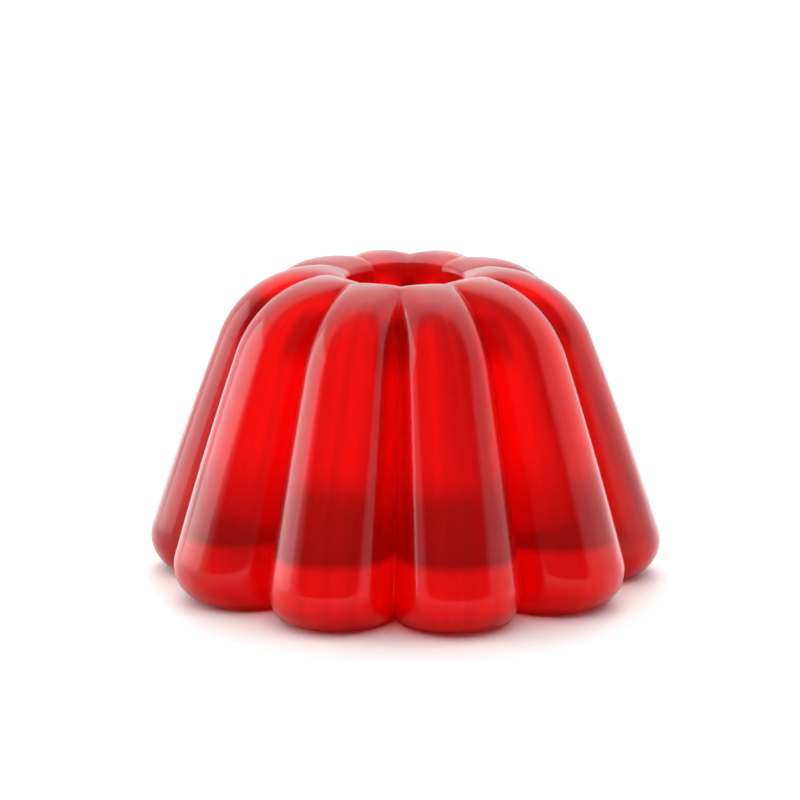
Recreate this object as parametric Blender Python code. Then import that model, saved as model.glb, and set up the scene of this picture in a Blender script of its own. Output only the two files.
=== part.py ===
"""A moulded jelly dessert: a fluted dome with a dip in its crown, one solid standing on its flat base.

The ridge of every lobe follows one outline, which runs from the base over the shoulder and down into the
dip as a chain of arcs. The creases between the lobes follow the same outline, set into the jelly by a depth
that is greatest just above the foot and fades towards the crown. The origin is at the centre of the base,
with +Z up and a crease facing -Y."""

import math

import bmesh
import bpy
import numpy as np

# Driving sizes, in metres.
BASE_RADIUS = 0.0627  # from the axis to the widest point of a lobe
HEIGHT = 0.0757
FOOT_RADIUS = 0.0087  # rounding between the base and the wall
SHOULDER_RADIUS = 0.0252
CROWN_RADIUS = 0.0157  # gentle fall from the crest towards the dip
RIM_RADIUS = 0.002  # edge where the crown turns down into the dip
DIP_DEPTH = 0.018  # below the crest
DIP_FILLET = 0.003  # rounding between the dip's wall and its floor

# Depth of the creases at each stage of the outline, in metres.
BASE_CREASE = 0.0152
WALL_CREASE = 0.0175
SHOULDER_CREASE = 0.0099
CREST_CREASE = 0.0009
DIP_CREASE = 0.0003

# Shape of the creases and of the lobes between them.
SHOULDER_FADE = 1.45  # power by which the creases fade over the shoulder
LOBE_FULLNESS = 2.2  # 2 makes a lobe's section part of an ellipse, and more makes it squarer

# Driving angles, in radians.
WALL_DRAFT = math.radians(17.7)  # lean of the wall from upright, just above the foot
SHOULDER_DRAFT = math.radians(21.3)  # lean of the wall where the shoulder begins
CROWN_FALL = math.radians(25.0)  # slope of the crown at the rim
DIP_TAPER = math.radians(6.0)
LOBE_SWEEP = math.radians(73.0)  # half the turn of a lobe's section
SHARP_EDGE = math.radians(50.0)

# Number of lobes, and of the flat facets that each stretch is divided into.
LOBES = 10
LOBE_SEGMENTS = 14
FOOT_SEGMENTS = 4
WALL_SEGMENTS = 6
SHOULDER_SEGMENTS = 8
CROWN_SEGMENTS = 2
RIM_SEGMENTS = 3
DIP_SEGMENTS = 3

# Headings: the angle of the outline's direction, counted from straight outwards.
UP = math.pi / 2
INWARDS = math.pi
DOWN = 3 * math.pi / 2

FLOOR_HEIGHT = HEIGHT - DIP_DEPTH
WALL_TOP = HEIGHT - SHOULDER_RADIUS * (1 - math.sin(SHOULDER_DRAFT))


def arc_from(start, heading, radius, end_heading, segments):
    """Across, height and heading of points along an arc. Growing headings bend it inwards."""
    turn = end_heading - heading
    headings = heading + turn * np.arange(1, segments + 1) / segments
    reach = math.copysign(radius, turn)
    across = start[0] + reach * (np.sin(headings) - math.sin(heading))
    height = start[1] + reach * (math.cos(heading) - np.cos(headings))
    return np.column_stack([across, height, headings])


def ridge_outline():
    """Across, height and heading of each point along a lobe's ridge, from the base to the dip's floor."""
    wall_rise = WALL_TOP - FOOT_RADIUS * (1 + math.sin(WALL_DRAFT))
    wall_radius = wall_rise / (math.sin(SHOULDER_DRAFT) - math.sin(WALL_DRAFT))
    arcs = (
        (FOOT_RADIUS, UP + WALL_DRAFT, FOOT_SEGMENTS),
        (wall_radius, UP + SHOULDER_DRAFT, WALL_SEGMENTS),
        (SHOULDER_RADIUS, INWARDS, SHOULDER_SEGMENTS),
        (CROWN_RADIUS, INWARDS + CROWN_FALL, CROWN_SEGMENTS),
        (RIM_RADIUS, DOWN - DIP_TAPER, RIM_SEGMENTS),
    )
    outline = np.array([[BASE_RADIUS - FOOT_RADIUS, 0.0, 0.0]])
    for radius, end_heading, segments in arcs:
        across, height, heading = outline[-1]
        arc = arc_from((across, height), heading, radius, end_heading, segments)
        outline = np.vstack([outline, arc])

    across, height, heading = outline[-1]
    wall_fall = height - FLOOR_HEIGHT - DIP_FILLET * (1 - math.sin(DIP_TAPER))
    falls = wall_fall * np.arange(1, DIP_SEGMENTS + 1) / DIP_SEGMENTS
    wall = np.column_stack(
        [across - falls * math.tan(DIP_TAPER), height - falls, np.full(DIP_SEGMENTS, heading)]
    )
    fillet = arc_from(wall[-1, :2], heading, DIP_FILLET, INWARDS, DIP_SEGMENTS)
    return np.vstack([outline, wall, fillet])


def progress(values, start, end):
    return np.clip((values - start) / (end - start), 0, 1)


def crease_course(outline):
    """Depth of the crease beside each point of the outline, and the way it is set in: level at the wall,
    straight down at the crest, outwards in the dip. Both follow the furthest height and heading so far."""
    height = outline[:, 1]
    climbed = np.maximum.accumulate(height)
    turned = np.maximum.accumulate(outline[:, 2])
    over_shoulder = progress(turned, UP + SHOULDER_DRAFT, INWARDS)
    depth = BASE_CREASE + (WALL_CREASE - BASE_CREASE) * progress(turned, 0, UP)
    depth += (SHOULDER_CREASE - WALL_CREASE) * progress(climbed, 0, WALL_TOP)
    depth += (CREST_CREASE - SHOULDER_CREASE) * over_shoulder**SHOULDER_FADE
    depth += (DIP_CREASE - CREST_CREASE) * progress(turned, INWARDS, INWARDS + CROWN_FALL)
    past_crest = turned > INWARDS
    depth *= np.where(past_crest, progress(height, FLOOR_HEIGHT, FLOOR_HEIGHT + DIP_FILLET), 1)
    direction = (over_shoulder + progress(turned, INWARDS, DOWN)) * UP
    return depth, direction


def lobe_section():
    """Angle round the axis and share of the crease's depth for each point of one lobe, crease to crease."""
    turn = np.linspace(-LOBE_SWEEP, LOBE_SWEEP, LOBE_SEGMENTS + 1)
    across = np.abs(np.sin(turn))
    fall = 1 - (1 - across**LOBE_FULLNESS) ** (1 / LOBE_FULLNESS)
    angle = math.pi / LOBES * np.sin(turn) / across[0]
    share = fall / fall[0]
    return angle[:-1], share[:-1]


def jelly_rings():
    """Rings of points from the edge of the base to that of the dip's floor: [ring, point, xyz]."""
    outline = ridge_outline()
    depth, direction = crease_course(outline)
    lobe_angle, lobe_share = lobe_section()
    lobe_turns = 2 * math.pi * (np.arange(LOBES) + 0.5) / LOBES
    angle = (lobe_turns[:, None] + lobe_angle).ravel() - UP
    share = np.tile(lobe_share, LOBES)
    across = outline[:, :1] - np.outer(depth * np.cos(direction), share)
    height = outline[:, 1:2] - np.outer(depth * np.sin(direction), share)
    return np.stack([across * np.cos(angle), across * np.sin(angle), height], axis=-1)


def close_ring(mesh, ring, centre, facing_up):
    """Fan of triangles from a ring of vertices to a new vertex at its centre."""
    hub = mesh.verts.new(centre)
    for first, second in zip(ring, ring[1:] + ring[:1]):
        mesh.faces.new((first, second, hub) if facing_up else (second, first, hub))


def jelly_material():
    material = bpy.data.materials.new("red_jelly")
    material.use_nodes = True
    shader = material.node_tree.nodes["Principled BSDF"]
    shader.inputs["Base Color"].default_value = (0.8, 0.01, 0.015, 1.0)
    shader.inputs["Roughness"].default_value = 0.08
    shader.inputs["Metallic"].default_value = 0.0
    return material


def build_jelly():
    mesh = bmesh.new()
    rings = [[mesh.verts.new(point) for point in ring] for ring in jelly_rings()]
    for lower, upper in zip(rings, rings[1:]):
        for i in range(len(lower)):
            j = (i + 1) % len(lower)
            mesh.faces.new((lower[i], lower[j], upper[j], upper[i]))
    close_ring(mesh, rings[0], (0, 0, 0), facing_up=False)
    close_ring(mesh, rings[-1], (0, 0, FLOOR_HEIGHT), facing_up=True)

    data = bpy.data.meshes.new("jelly")
    mesh.to_mesh(data)
    mesh.free()
    data.shade_smooth()
    data.set_sharp_from_angle(angle=SHARP_EDGE)
    data.materials.append(jelly_material())
    jelly = bpy.data.objects.new("jelly", data)
    bpy.context.scene.collection.objects.link(jelly)


for existing in list(bpy.data.objects):
    bpy.data.objects.remove(existing)
build_jelly()
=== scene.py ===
"""Looks of a moulded red jelly: fine fluted surface, clear red body, pale floor, soft lights and camera."""

import math

import bpy
import numpy as np
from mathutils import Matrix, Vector


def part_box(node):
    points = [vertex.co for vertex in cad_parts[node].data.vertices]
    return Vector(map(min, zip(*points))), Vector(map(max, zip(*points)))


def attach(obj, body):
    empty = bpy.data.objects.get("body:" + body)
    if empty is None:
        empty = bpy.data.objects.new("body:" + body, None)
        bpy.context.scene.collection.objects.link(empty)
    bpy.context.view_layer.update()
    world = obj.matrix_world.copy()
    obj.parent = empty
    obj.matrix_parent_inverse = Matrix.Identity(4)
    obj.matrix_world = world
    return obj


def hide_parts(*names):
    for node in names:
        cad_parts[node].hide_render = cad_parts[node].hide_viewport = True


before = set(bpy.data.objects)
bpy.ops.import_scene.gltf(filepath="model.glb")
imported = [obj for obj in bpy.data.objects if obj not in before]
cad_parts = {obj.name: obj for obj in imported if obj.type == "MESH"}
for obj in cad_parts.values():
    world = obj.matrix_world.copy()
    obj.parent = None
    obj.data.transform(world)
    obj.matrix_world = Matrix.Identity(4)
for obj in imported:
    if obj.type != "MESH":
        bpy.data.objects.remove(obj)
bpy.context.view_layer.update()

# One millimetre of the solid, which is 75.7 mm high. Every size of the jelly below is counted in it.
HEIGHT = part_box("jelly")[1][2]
MM = HEIGHT / 75.7

# Outline of a lobe's ridge.
BASE_RADIUS = 62.7 * MM
FOOT_RADIUS = 8.7 * MM
SHOULDER_RADIUS = 25.2 * MM
CROWN_RADIUS = 15.7 * MM
RIM_RADIUS = 2.0 * MM
DIP_DEPTH = 18.0 * MM
DIP_FILLET = 3.0 * MM
WALL_DRAFT = math.radians(17.7)
SHOULDER_DRAFT = math.radians(21.3)
CROWN_FALL = math.radians(25.0)
DIP_TAPER = math.radians(6.0)

# Creases between the lobes: their depth at each stage, and the shape of them and of the lobes.
LOBES = 10
BASE_CREASE = 15.2 * MM
WALL_CREASE = 17.5 * MM
SHOULDER_CREASE = 9.9 * MM
CREST_CREASE = 0.9 * MM
DIP_CREASE = 0.3 * MM
SHOULDER_FADE = 1.45  # power by which the creases fade over the shoulder
LOBE_SWEEP = math.radians(73.0)  # half the turn of a lobe's section
LOBE_FULLNESS = 2.2  # 2 makes a lobe's section part of an ellipse, and more makes it squarer
CREASE_ROUNDING = 0.03  # how blunt the bottom of a crease is, as a share of a half lobe

# Fineness of the surface.
COLUMNS_PER_LOBE = 48
ROW_STEP = 1.1 * MM
LEAST_ARC_STEPS = 6

# The jelly's body: the tints between which its streaks vary, the painted shade in the creases under the
# shoulder, and the light that its depth takes away.
LIGHT_TINT = (0.86, 0.014, 0.014, 1.0)
DEEP_TINT = (0.70, 0.01, 0.01, 1.0)
CREASE_PAINTED_SHADE = (0.30, 0.005, 0.005, 1.0)
DEPTH_TINT = (0.97, 0.02, 0.02, 1.0)
DEPTH_DENSITY = 60.0
REFRACTION = 1.36
CLEARNESS = 0.88  # share of the light that passes into the jelly
BLUR = (0.27, 0.31)  # least and greatest roughness of the body under its coat

# The wet coat over the body.
SKIN_TINT = (0.5, 0.14, 0.14, 1.0)  # of the mirror image that the body adds below the coat
COAT_ROUGHNESS = 0.10
FOOT_COAT = 0.25  # share of the coat that is left at the foot
RIPPLE_DEPTH = 0.0006
RIPPLE_STRENGTH = 0.25

# Scales and detail of the noise in the finish.
STREAK_NOISE = (13.0, 1.0)
BLUR_NOISE = (90.0, 3.0)
RIPPLE_NOISE = (60.0, 2.0)

# Painted shade at the edge of the foot, and above it a painted band of light and then one of shade: share of
# the height, and of the light that passes there. A little less green and blue light passes, and the jelly's
# sides are spared most of the band.
PAINTED_SHADE_AND_LIGHT_BAND = (
    (0.0, 0.14),
    (0.055, 0.72),
    (0.10, 1.1),
    (0.14, 1.15),
    (0.20, 1.15),
    (0.235, 0.30),
    (0.32, 0.40),
    (0.57, 1.0),
)
BAND_COOLING = 0.9
BAND_SPARED_AT_SIDES = 0.85

# Stretches over which one part of the finish gives way to the next. The coat, the painted band and the
# painted shade in the creases go by height or by distance from the middle, the streaks by noise and by
# distance from the axis.
COAT_EDGE = (0.06 * HEIGHT, 0.20 * HEIGHT)
FOOT_EDGE = (0.04 * HEIGHT, 0.09 * HEIGHT)
SIDE_EDGE = (0.35 * BASE_RADIUS, 0.65 * BASE_RADIUS)
STREAK_EDGE = (0.38, 0.62)
CROWN_EDGE = (0.45 * BASE_RADIUS, 0.62 * BASE_RADIUS)
CREASE_EDGE = (-0.25, -0.8)  # cosine that is 1 on a ridge and -1 in a crease
CREASE_BELT_FOOT = (0.74 * HEIGHT, 0.84 * HEIGHT)
CREASE_BELT_TOP = (0.90 * HEIGHT, 0.95 * HEIGHT)

# The floor, and how far the jelly's base presses into it.
FLOOR_RADIUS = 4.0
FLOOR_CORNERS = 64
FLOOR_PRESS = 0.0002

# Surroundings: their light beyond the jelly and on the camera's side, and where the one fades to the other,
# counted from -1 at the camera's side to 1 at the far side. Overhead counts as this much nearer the camera.
BACKDROP_LIGHT = 1.0
ROOM_LIGHT = 0.06
FADE_START = -0.80
FADE_END = -0.55
OVERHEAD_DIMMING = 0.9

# Where the photograph was taken from, counted in base radii and in the picture's own pixels.
PICTURE_WIDTH = 800
SENSOR_WIDTH = 36.0
CAMERA_DISTANCE = 13.51 * BASE_RADIUS
CAMERA_HEIGHT = 3.917 * BASE_RADIUS
CAMERA_TURN = math.radians(3.1)
AIM_HEIGHT = 0.683 * BASE_RADIUS
AIM_LEFT = 0.019 * BASE_RADIUS
FOCAL_PIXELS = 3570

# Headings along the outline, counted from straight outwards.
UP = math.pi / 2
INWARDS = math.pi
DOWN = 3 * math.pi / 2

WALL_TOP = HEIGHT - SHOULDER_RADIUS * (1 - math.sin(SHOULDER_DRAFT))
DIP_FLOOR = HEIGHT - DIP_DEPTH


def arc(start, heading, radius, end_heading):
    """Circular arc from start: across grows by the radius times the change of the heading's sine, and height
    by the radius times the drop of its cosine. Columns are across, height and heading."""
    turn = end_heading - heading
    steps = max(LEAST_ARC_STEPS, math.ceil(abs(turn) * radius / ROW_STEP))
    headings = heading + turn * np.arange(1, steps + 1) / steps
    reach = math.copysign(radius, turn)
    across = start[0] + reach * (np.sin(headings) - math.sin(heading))
    height = start[1] + reach * (math.cos(heading) - np.cos(headings))
    return np.column_stack([across, height, headings])


def ridge_outline():
    """Ridge of a lobe: foot arc, bowed wall, shoulder, crown and rim arcs, the dip's straight wall and its
    fillet, each leaving in the direction in which the one before it ends."""
    wall_rise = WALL_TOP - FOOT_RADIUS * (1 + math.sin(WALL_DRAFT))
    wall_radius = wall_rise / (math.sin(SHOULDER_DRAFT) - math.sin(WALL_DRAFT))
    arcs = (
        (FOOT_RADIUS, UP + WALL_DRAFT),
        (wall_radius, UP + SHOULDER_DRAFT),
        (SHOULDER_RADIUS, INWARDS),
        (CROWN_RADIUS, INWARDS + CROWN_FALL),
        (RIM_RADIUS, DOWN - DIP_TAPER),
    )
    outline = np.array([[BASE_RADIUS - FOOT_RADIUS, 0.0, 0.0]])
    for radius, end_heading in arcs:
        across, height, heading = outline[-1]
        outline = np.vstack([outline, arc((across, height), heading, radius, end_heading)])

    across, height, heading = outline[-1]
    wall_fall = height - DIP_FLOOR - DIP_FILLET * (1 - math.sin(DIP_TAPER))
    steps = math.ceil(wall_fall / ROW_STEP)
    falls = wall_fall * np.arange(1, steps + 1) / steps
    wall = np.column_stack([across - falls * math.tan(DIP_TAPER), height - falls, np.full(steps, heading)])
    fillet = arc(wall[-1, :2], heading, DIP_FILLET, INWARDS)
    return np.vstack([outline, wall, fillet])


def progress(values, start, end):
    return np.clip((values - start) / (end - start), 0, 1)


def crease_course(outline):
    """Depth of the crease beside each ridge point and the way it is set in. The depth grows over the foot,
    falls in a straight line up the wall, by a power over the shoulder and in a straight line over the crown;
    the way turns from level at the wall to straight down at the crest and outwards in the dip."""
    height = outline[:, 1]
    climbed = np.maximum.accumulate(height)
    turned = np.maximum.accumulate(outline[:, 2])
    over_shoulder = progress(turned, UP + SHOULDER_DRAFT, INWARDS)
    depth = BASE_CREASE + (WALL_CREASE - BASE_CREASE) * progress(turned, 0, UP)
    depth += (SHOULDER_CREASE - WALL_CREASE) * progress(climbed, 0, WALL_TOP)
    depth += (CREST_CREASE - SHOULDER_CREASE) * over_shoulder**SHOULDER_FADE
    depth += (DIP_CREASE - CREST_CREASE) * progress(turned, INWARDS, INWARDS + CROWN_FALL)
    depth *= np.where(turned > INWARDS, progress(height, DIP_FLOOR, DIP_FLOOR + DIP_FILLET), 1)
    direction = (over_shoulder + progress(turned, INWARDS, DOWN)) * UP
    return depth, direction


def lobe_section():
    """One lobe from crease to crease: the angle round the axis goes with the sine of the turn, and the share
    of the crease's depth with the fall of a superellipse. A hyperbola blunts the distance to the crease."""
    turn = np.linspace(-LOBE_SWEEP, LOBE_SWEEP, COLUMNS_PER_LOBE + 1)
    across = np.sin(turn) / math.sin(LOBE_SWEEP)
    blunted = np.abs(1 - np.hypot(1 - np.abs(across), CREASE_ROUNDING)) * math.sin(LOBE_SWEEP)
    fall = 1 - (1 - blunted**LOBE_FULLNESS) ** (1 / LOBE_FULLNESS)
    full_fall = 1 - (1 - math.sin(LOBE_SWEEP) ** LOBE_FULLNESS) ** (1 / LOBE_FULLNESS)
    return math.pi / LOBES * across[:-1], fall[:-1] / full_fall


def jelly_points():
    """Grid of points, one row for each point of the outline and one column for each angle round the axis:
    the ridge's place moved along the crease's way by the crease's depth times the column's share of it."""
    outline = ridge_outline()
    depth, direction = crease_course(outline)
    lobe_angle, lobe_share = lobe_section()
    lobe_turns = 2 * math.pi * (np.arange(LOBES) + 0.5) / LOBES
    angle = (lobe_turns[:, None] + lobe_angle).ravel() - UP
    share = np.tile(lobe_share, LOBES)
    across = outline[:, :1] - np.outer(depth * np.cos(direction), share)
    height = outline[:, 1:2] - np.outer(depth * np.sin(direction), share)
    return np.stack([across * np.cos(angle), across * np.sin(angle), height], axis=-1)


def closed_grid_mesh(name, points, low_pole, high_pole):
    """Mesh of a grid whose columns close round the axis, with its first and last rows closed to a pole."""
    rows, columns, _ = points.shape
    number = np.arange(rows * columns).reshape(rows, columns)
    after = np.roll(number, -1, axis=1)
    walls = np.stack([number[:-1], after[:-1], after[1:], number[1:]], axis=-1).reshape(-1, 4)
    low, high = rows * columns, rows * columns + 1
    low_fan = np.column_stack([after[0], number[0], np.full(columns, low)])
    high_fan = np.column_stack([number[-1], after[-1], np.full(columns, high)])
    corners = np.concatenate([walls.ravel(), low_fan.ravel(), high_fan.ravel()]).astype(np.int32)
    sizes = np.concatenate([np.full(len(walls), 4), np.full(2 * columns, 3)])
    starts = np.concatenate([[0], np.cumsum(sizes)[:-1]]).astype(np.int32)
    places = np.vstack([points.reshape(-1, 3), low_pole, high_pole])

    mesh = bpy.data.meshes.new(name)
    mesh.vertices.add(len(places))
    mesh.vertices.foreach_set("co", places.astype(np.float32).ravel())
    mesh.loops.add(len(corners))
    mesh.loops.foreach_set("vertex_index", corners)
    mesh.polygons.add(len(sizes))
    mesh.polygons.foreach_set("loop_start", starts)
    mesh.update(calc_edges=True)
    mesh.validate()
    mesh.shade_smooth()
    return mesh


def add_object(name, data):
    thing = bpy.data.objects.new(name, data)
    bpy.context.scene.collection.objects.link(thing)
    return thing


def add_node(tree, kind, inputs=None, **settings):
    """New shader node. An input that is given a socket is linked to it, and any other holds its value."""
    node = tree.nodes.new("ShaderNode" + kind)
    for name, value in settings.items():
        setattr(node, name, value)
    for name, value in (inputs or {}).items():
        if isinstance(value, bpy.types.NodeSocket):
            tree.links.new(value, node.inputs[name])
        else:
            node.inputs[name].default_value = value
    return node


def calculated(tree, operation, *values):
    return add_node(tree, "Math", dict(enumerate(values)), operation=operation).outputs[0]


def vector_of(tree, operation, *values, output="Vector"):
    return add_node(tree, "VectorMath", dict(enumerate(values)), operation=operation).outputs[output]


def graded(tree, value, stretch, low=0.0, high=1.0, easing="SMOOTHSTEP"):
    """Runs from low to high while value runs over the stretch."""
    start, end = stretch
    inputs = {"Value": value, "From Min": start, "From Max": end, "To Min": low, "To Max": high}
    return add_node(tree, "MapRange", inputs, interpolation_type=easing).outputs["Result"]


def noise(tree, place, scale_and_detail):
    scale, detail = scale_and_detail
    inputs = {"Vector": place, "Scale": scale, "Detail": detail}
    return add_node(tree, "TexNoise", inputs).outputs["Fac"]


def mixed(tree, factor, first, second, blend_type="MIX"):
    inputs = {"Factor": factor, "A": first, "B": second}
    node = add_node(tree, "Mix", inputs, data_type="RGBA", blend_type=blend_type)
    return node.outputs["Result"]


def streaked_tint(tree, place):
    """Noise that runs up the lobes, because it is read at each place's way from the axis, and which fades
    towards the crown."""
    level = vector_of(tree, "MULTIPLY", place, (1.0, 1.0, 0.0))
    across = vector_of(tree, "LENGTH", level, output="Value")
    outwards = vector_of(tree, "NORMALIZE", level)
    veins = noise(tree, vector_of(tree, "ADD", place, outwards), STREAK_NOISE)
    beyond_crown = graded(tree, across, CROWN_EDGE)
    streaks = calculated(tree, "MULTIPLY", graded(tree, veins, STREAK_EDGE), beyond_crown)
    return mixed(tree, streaks, LIGHT_TINT, DEEP_TINT)


def painted_shade_and_light_band(tree, across, height):
    """Painted shade and light by height: the share of the light that passes at each height. Seen from
    outside it is the band's share, all round at the edge of the foot, and above that mostly at the front and
    the back. Elsewhere all of it passes."""
    span = graded(tree, height, (0.0, HEIGHT), easing="LINEAR")
    painted_band = add_node(tree, "ValToRGB", {"Fac": span})
    painted_band.color_ramp.interpolation = "EASE"
    stops = painted_band.color_ramp.elements
    while len(stops) < len(PAINTED_SHADE_AND_LIGHT_BAND):
        stops.new(0.5)
    for stop, (share, light) in zip(stops, PAINTED_SHADE_AND_LIGHT_BAND):
        stop.position = share
        stop.color = (light, light * BAND_COOLING, light * BAND_COOLING, 1.0)

    away = calculated(tree, "ABSOLUTE", across)
    at_sides = graded(tree, away, SIDE_EDGE, BAND_SPARED_AT_SIDES, 0.0)
    above_foot = graded(tree, height, FOOT_EDGE)
    from_inside = add_node(tree, "NewGeometry").outputs["Backfacing"]
    spared = calculated(tree, "MAXIMUM", from_inside, calculated(tree, "MULTIPLY", at_sides, above_foot))
    return mixed(tree, spared, painted_band.outputs["Color"], (1.0, 1.0, 1.0, 1.0))


def painted_crease_shade(tree, parts):
    """Mask of the painted shade in the creases just under the shoulder. The cosine of the angle round the
    axis, times the number of lobes, is 1 on a ridge and -1 in a crease."""
    angle = calculated(tree, "ARCTAN2", parts["Y"], parts["X"])
    ridge_side = calculated(tree, "COSINE", calculated(tree, "MULTIPLY", angle, LOBES))
    in_crease = graded(tree, ridge_side, CREASE_EDGE)
    above = graded(tree, parts["Z"], CREASE_BELT_FOOT)
    below = graded(tree, parts["Z"], CREASE_BELT_TOP, 1.0, 0.0)
    return calculated(tree, "MULTIPLY", calculated(tree, "MULTIPLY", above, below), in_crease)


def jelly_material():
    """Red gelatine under a wet coat that thins out at the foot. Light is blurred as it enters, tinted in
    faint streaks that run up the lobes, and absorbed in the depth. Painted shade darkens the edge of the
    foot and the creases just under the shoulder, and above the foot, at the front and the back, lies a
    painted band of light and above it one of shade."""
    material = bpy.data.materials.new("clear_red_jelly")
    material.use_nodes = True
    tree = material.node_tree
    place = add_node(tree, "TexCoord").outputs["Object"]
    parts = add_node(tree, "SeparateXYZ", {"Vector": place}).outputs

    # Painted shade and light in a band by height, then painted shade in the creases under the shoulder.
    painted_band = painted_shade_and_light_band(tree, parts["Y"], parts["Z"])
    tint_with_painted_band = mixed(tree, 1.0, streaked_tint(tree, place), painted_band, "MULTIPLY")
    colour = mixed(tree, painted_crease_shade(tree, parts), tint_with_painted_band, CREASE_PAINTED_SHADE)
    blur = graded(tree, noise(tree, place, BLUR_NOISE), (0.0, 1.0), *BLUR, easing="LINEAR")
    coat = graded(tree, parts["Z"], COAT_EDGE, FOOT_COAT, 1.0)
    relief = {
        "Strength": RIPPLE_STRENGTH,
        "Distance": RIPPLE_DEPTH,
        "Height": noise(tree, place, RIPPLE_NOISE),
    }
    ripple = add_node(tree, "Bump", relief).outputs["Normal"]

    shader = tree.nodes["Principled BSDF"]
    shader.inputs["Metallic"].default_value = 0.0
    shader.inputs["IOR"].default_value = REFRACTION
    shader.inputs["Specular Tint"].default_value = SKIN_TINT
    shader.inputs["Transmission Weight"].default_value = CLEARNESS
    shader.inputs["Coat Roughness"].default_value = COAT_ROUGHNESS
    shader.inputs["Coat IOR"].default_value = REFRACTION
    tree.links.new(colour, shader.inputs["Base Color"])
    tree.links.new(blur, shader.inputs["Roughness"])
    tree.links.new(coat, shader.inputs["Coat Weight"])
    tree.links.new(ripple, shader.inputs["Normal"])

    absorbed = add_node(tree, "VolumeAbsorption", {"Color": DEPTH_TINT, "Density": DEPTH_DENSITY})
    tree.links.new(absorbed.outputs["Volume"], tree.nodes["Material Output"].inputs["Volume"])
    return material


def build_jelly():
    mesh = closed_grid_mesh("jelly_body", jelly_points(), (0, 0, 0), (0, 0, DIP_FLOOR))
    mesh.materials.append(jelly_material())
    body = add_object("jelly_body", mesh)
    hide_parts("jelly")
    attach(body, "root")


def floor_material():
    material = bpy.data.materials.new("pale_floor")
    material.use_nodes = True
    shader = material.node_tree.nodes["Principled BSDF"]
    shader.inputs["Base Color"].default_value = (0.92, 0.92, 0.92, 1.0)
    shader.inputs["Roughness"].default_value = 0.6
    shader.inputs["Specular IOR Level"].default_value = 0.2
    return material


def build_floor():
    """Level disc: its rim's points lie on a circle, at equal angles."""
    angle = 2 * math.pi * np.arange(FLOOR_CORNERS) / FLOOR_CORNERS
    height = np.full(FLOOR_CORNERS, FLOOR_PRESS)
    rim = np.column_stack([FLOOR_RADIUS * np.cos(angle), FLOOR_RADIUS * np.sin(angle), height])
    mesh = bpy.data.meshes.new("floor")
    mesh.from_pydata(rim.tolist(), [], [list(range(FLOOR_CORNERS))])
    mesh.materials.append(floor_material())
    add_object("floor", mesh)


def pointing(place, target):
    """Turn of a lamp or camera at place that looks at target."""
    return (Vector(target) - Vector(place)).to_track_quat("-Z", "Y").to_euler()


def softbox(name, azimuth, elevation, distance, size, radiance, mirrored=True, direct=True):
    """Rectangular lamp that faces the jelly. Azimuth is counted from the front, to the right as seen there.
    A lamp can be kept out of mirror images, and out of the light that falls straight on matt surfaces."""
    turn, rise = math.radians(azimuth), math.radians(elevation)
    level = distance * math.cos(rise)
    place = (level * math.sin(turn), -level * math.cos(turn), distance * math.sin(rise))
    lamp = bpy.data.lights.new(name, "AREA")
    lamp.shape = "RECTANGLE"
    lamp.size, lamp.size_y = size
    lamp.energy = radiance * math.pi * size[0] * size[1]
    holder = add_object(name, lamp)
    holder.location = place
    holder.rotation_euler = pointing(place, (0, 0, HEIGHT / 2))
    holder.visible_glossy = mirrored
    holder.visible_diffuse = direct


def light_the_backdrop():
    """White surroundings behind and beside the jelly, which fade to a dim room towards the camera and
    overhead: a smooth step of how far each way points from the camera, less its rise."""
    world = bpy.data.worlds.new("studio")
    world.use_nodes = True
    tree = world.node_tree
    way = add_node(tree, "TexCoord").outputs["Generated"]
    depth = vector_of(tree, "DOT_PRODUCT", way, (0.0, 1.0, -OVERHEAD_DIMMING), output="Value")
    strength = graded(tree, depth, (FADE_START, FADE_END), ROOM_LIGHT, BACKDROP_LIGHT)
    background = tree.nodes["Background"]
    background.inputs["Color"].default_value = (1.0, 1.0, 1.0, 1.0)
    tree.links.new(strength, background.inputs["Strength"])
    bpy.context.scene.world = world


def light_the_studio():
    light_the_backdrop()
    softbox("left_softbox", azimuth=-96, elevation=18, distance=1.0, size=(0.9, 0.7), radiance=2.1)
    unseen = {"mirrored": False, "direct": False}
    softbox("fill", azimuth=0, elevation=25, distance=1.8, size=(3.4, 1.8), radiance=1.0, **unseen)
    softbox("wash", azimuth=180, elevation=80, distance=1.2, size=(2.4, 2.4), radiance=1.5, mirrored=False)
    softbox("key", azimuth=180, elevation=50, distance=1.2, size=(0.6, 0.6), radiance=4.0, mirrored=False)


def place_camera():
    right = (math.cos(CAMERA_TURN), math.sin(CAMERA_TURN))
    centre = (-AIM_LEFT * right[0], -AIM_LEFT * right[1])
    lens = bpy.data.cameras.new("camera")
    lens.sensor_width = SENSOR_WIDTH
    lens.lens = FOCAL_PIXELS * SENSOR_WIDTH / PICTURE_WIDTH
    camera = add_object("camera", lens)
    camera.location = (
        centre[0] + CAMERA_DISTANCE * math.sin(CAMERA_TURN),
        centre[1] - CAMERA_DISTANCE * math.cos(CAMERA_TURN),
        CAMERA_HEIGHT,
    )
    camera.rotation_euler = pointing(camera.location, (centre[0], centre[1], AIM_HEIGHT))
    bpy.context.scene.camera = camera


def set_the_render():
    scene = bpy.context.scene
    scene.view_settings.view_transform = "Standard"
    scene.view_settings.look = "None"
    scene.cycles.use_denoising = True
    scene.cycles.max_bounces = 24
    scene.cycles.transmission_bounces = 24
    scene.cycles.glossy_bounces = 12


build_jelly()
build_floor()
light_the_studio()
place_camera()
set_the_render()
